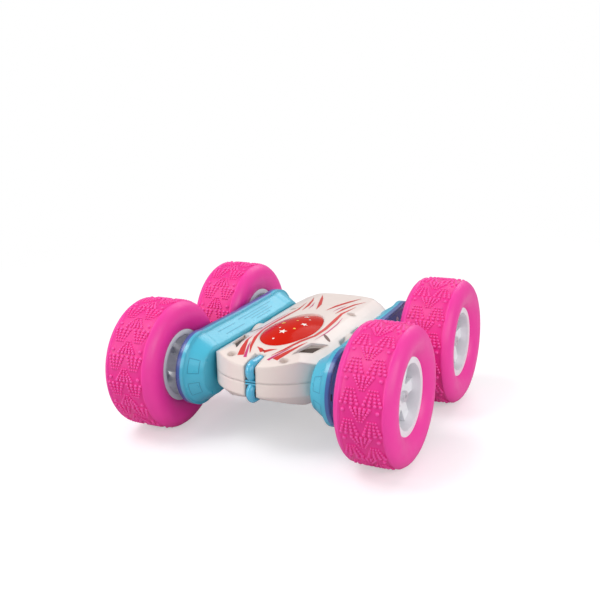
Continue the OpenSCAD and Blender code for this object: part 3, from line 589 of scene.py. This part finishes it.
# Panel lines of the arms, drawn as darker strips of painted shade in the grooves, and the slots in their
# covers, laid on the arms' own surfaces

FLANK_SLOPE = 5.9 / 9.4
INNER_END_R, INNER_WAIST_H, CROWN_SINK = 14.7, 13.7, 0.5
LINE_W, END_LIFT, FLANK_LIFT = 0.4, 0.05, 0.06
END_PANEL = ((36.2, 0.16), (41.6, 0.16), (41.6, 0.62), (36.2, 0.62))
END_STEPS, FLANK_STEPS = 9, 24
FLANK_LINES = (
    (36.0, 6, 24), (37.6, 2, 30), (39.2, -4, 27), (40.8, -9, 33), (36.8, -30, -8), (40.0, -34, -14),
)
COVER_X, SLOT_LIFT = ARM_OUT - 1.0, 0.05
SLOT_Y, SLOT_Z, SLOT_R = (15.6, 17.4), (-1.6, 2.4), 0.6


def on_end(x, phi, way):
    """A point on the cone at an arm's end, and its normal; phi is the height angle from straight out."""
    r = INNER_END_R + FLANK_SLOPE * (x - ARM_IN)
    out = Vector((0, way * math.cos(phi), math.sin(phi)))
    place = Vector((x, way * WHEEL_Y, AXLE_H)) + out * r
    return place, (out - Vector((FLANK_SLOPE, 0, 0))).normalized()


def on_flank(x, y, up):
    """A point on the flat between an arm's ends, on its upper or lower flank, and its normal."""
    grow = FLANK_SLOPE * (x - ARM_IN)
    rise = (INNER_END_R - CROWN_SINK - INNER_WAIST_H) / WHEEL_Y
    h = INNER_WAIST_H + grow + rise * abs(y)
    normal = Vector((-FLANK_SLOPE, -math.copysign(rise, y), 1)).normalized()
    return Vector((x, y, AXLE_H + up * h)), Vector((normal.x, normal.y, up * normal.z))


def rounded_box(x0, x1, y0, y1, r, n=5):
    """A closed outline with corner radius r."""
    pts = []
    for cx, cy, a0 in ((x1 - r, y1 - r, 0), (x0 + r, y1 - r, 1), (x0 + r, y0 + r, 2), (x1 - r, y0 + r, 3)):
        for i in range(n + 1):
            a = (a0 + i / n) * math.pi / 2
            pts.append((cx + r * math.cos(a), cy + r * math.sin(a)))
    return pts


def line_strip(places, lift, closed):
    """A narrow strip along points with normals."""
    verts, faces = [], []
    n = len(places)
    for i, (p, up) in enumerate(places):
        a = places[(i - 1) % n if closed else max(0, i - 1)][0]
        b = places[(i + 1) % n if closed else min(n - 1, i + 1)][0]
        side = (b - a).cross(up).normalized()
        verts += [p + side * LINE_W / 2 + up * lift, p - side * LINE_W / 2 + up * lift]
    for i in range(n if closed else n - 1):
        j = (i + 1) % n
        faces.append((2 * i, 2 * i + 1, 2 * j + 1, 2 * j))
    return verts, faces


def end_panel(sign, way):
    """The outline of a panel on an arm's end, above or below its middle."""
    loop = []
    for (x, a), (nx, na) in zip(END_PANEL, END_PANEL[1:] + END_PANEL[:1]):
        for k in range(END_STEPS):
            t = k / END_STEPS
            loop.append(on_end(x + (nx - x) * t, sign * (a + (na - a) * t), way))
    return line_strip(loop, END_LIFT, True)


def flank_line(x, y0, y1, up):
    steps = [y0 + (y1 - y0) * i / FLANK_STEPS for i in range(FLANK_STEPS + 1)]
    return line_strip([on_flank(x, y, up) for y in steps], FLANK_LIFT, False)


def arm_lines(hand, side):
    strips = [end_panel(sign, way) for way in (-1, 1) for sign in (-1, 1)]
    strips += [flank_line(*line, up) for up in (-1, 1) for line in FLANK_LINES]
    verts, faces = [], []
    for v, f in strips:
        base = len(verts)
        verts += [Vector((side * p.x, p.y, p.z)) for p in v]
        faces += [tuple(base + i for i in q) for q in f]
    name = f"arm_lines_{hand}"
    # The panel lines take the darker cyan, painted shade of the grooves.
    add_piece(name, make_mesh(name, verts, faces, ("groove_painted_shade",)), f"{hand}_arm")


# Flat dark sheets where the cover slots are: painted shade of the slots' hollows.
def cover_slots(hand, side):
    verts, faces = [], []
    x = side * (COVER_X + SLOT_LIFT)
    for way in (-1, 1):
        outline = rounded_box(*SLOT_Y, *SLOT_Z, SLOT_R)
        base = len(verts)
        verts += [Vector((x, way * (WHEEL_Y + y), AXLE_H + z)) for y, z in outline]
        faces.append(tuple(range(base, len(verts))))
    name = f"cover_slots_{hand}"
    mesh = make_mesh(name, verts, faces, ("slot_painted_shade",), smooth=False)
    add_piece(name, mesh, f"{hand}_arm")


for hand, side in HANDS:
    arm_lines(hand, side)
    cover_slots(hand, side)


# Floor, light and camera

FLOOR_HALF, FLOOR_DROP = 2.0, 0.0002
FLOOR_GREY = (0.66, 0.66, 0.67, 1.0)
FLOOR_GLOW = (0.45, 0.45, 0.45, 1.0)
FADE_FROM, FADE_TO = 0.2, 0.55
WORLD_LIGHT, WORLD_SEEN = 0.4, 1.0
WHITE = (1.0, 1.0, 1.0, 1.0)

# Name, place, height of the target over the origin, and size in metres; power in watts
LAMPS = (
    ("key", (-0.45, -0.3, 1.0), 0.03, 0.6, 5.2),
    ("fill", (-0.8, -0.75, 0.4), 0.03, 0.6, 3.3),
    ("front", (0.75, -0.65, 0.5), 0.03, 0.6, 1.7),
    ("side", (0.9, -0.1, 0.4), 0.04, 0.5, 2.6),
    ("back", (0.1, 0.8, 0.7), 0.03, 0.7, 2.6),
)

# The camera was fitted to the tyres and rims in the photo: degrees, pixels and millimetres
AZIMUTH, ELEVATION, ROLL = 26.8672, 16.0195, -2.3342
FOCAL_PX, IMAGE_PX, SENSOR = 852.8254, 600.0, 36.0
TARGET, DISTANCE = Vector((0.0, -3.1824, 72.1147)), 514.0017


def floor():
    """A pale floor that shows the car's shadow, glows to white for the camera and fades out round the car."""
    h = FLOOR_HALF
    mesh = bpy.data.meshes.new("floor")
    mesh.from_pydata([(-h, -h, 0), (h, -h, 0), (h, h, 0), (-h, h, 0)], [], [(0, 1, 2, 3)])
    obj = add_object("floor", mesh)
    obj.location.z = -FLOOR_DROP
    n = Nodes("floor")
    s = n.shader(Roughness=0.35, Specular_IOR_Level=0.25, Base_Color=FLOOR_GREY)
    path = n.add("ShaderNodeLightPath")
    glow = n.add("ShaderNodeEmission")
    n.join(path.outputs["Is Camera Ray"], glow.inputs["Strength"])
    glow.inputs["Color"].default_value = FLOOR_GLOW
    both = n.add("ShaderNodeAddShader")
    n.join(s.outputs["BSDF"], both.inputs[0])
    n.join(glow.outputs["Emission"], both.inputs[1])
    clear = n.add("ShaderNodeBsdfTransparent")
    length = n.add("ShaderNodeVectorMath", operation="LENGTH")
    n.join(n.coords, length.inputs[0])
    fade = n.add("ShaderNodeMixShader")
    n.join(n.remap(length.outputs["Value"], 0.0, 1.0, FADE_FROM, FADE_TO), fade.inputs["Fac"])
    n.join(both.outputs["Shader"], fade.inputs[1])
    n.join(clear.outputs["BSDF"], fade.inputs[2])
    n.join(fade.outputs["Shader"], n.out.inputs["Surface"])
    mesh.materials.append(n.mat)


def lamp(name, place, target_h, size, power):
    data = bpy.data.lights.new(name, "AREA")
    data.shape = "DISK"
    data.size = size
    data.energy = power
    obj = add_object(name, data)
    obj.location = place
    obj.rotation_euler = (Vector((0, 0, target_h)) - Vector(place)).to_track_quat("-Z", "Y").to_euler()


def world():
    """A dim white world that the camera sees as plain white."""
    w = bpy.data.worlds.new("studio")
    bpy.context.scene.world = w
    w.use_nodes = True
    tree = w.node_tree
    tree.nodes.clear()
    out = tree.nodes.new("ShaderNodeOutputWorld")
    path = tree.nodes.new("ShaderNodeLightPath")
    mix = tree.nodes.new("ShaderNodeMixShader")
    tree.links.new(path.outputs["Is Camera Ray"], mix.inputs["Fac"])
    for socket, strength in ((1, WORLD_LIGHT), (2, WORLD_SEEN)):
        light = tree.nodes.new("ShaderNodeBackground")
        light.inputs["Color"].default_value = WHITE
        light.inputs["Strength"].default_value = strength
        tree.links.new(light.outputs[0], mix.inputs[socket])
    tree.links.new(mix.outputs[0], out.inputs["Surface"])


def camera():
    az, el, roll = (math.radians(a) for a in (AZIMUTH, ELEVATION, ROLL))
    back = Vector((math.sin(az) * math.cos(el), -math.cos(az) * math.cos(el), math.sin(el)))
    right = Vector((math.cos(az), math.sin(az), 0.0))
    up = back.cross(right)
    rolled_right = right * math.cos(roll) + up * math.sin(roll)
    rolled_up = up * math.cos(roll) - right * math.sin(roll)
    data = bpy.data.cameras.new("camera")
    data.sensor_fit = "HORIZONTAL"
    data.sensor_width = SENSOR
    data.lens = SENSOR * FOCAL_PX / IMAGE_PX
    data.clip_start = 0.01
    obj = add_object("camera", data)
    turn = Matrix((rolled_right, rolled_up, back)).transposed().to_4x4()
    obj.matrix_world = Matrix.Translation((TARGET + back * DISTANCE) * MM) @ turn
    bpy.context.scene.camera = obj


floor()
world()
for row in LAMPS:
    lamp(*row)
camera()
bpy.context.scene.view_settings.view_transform = "Standard"
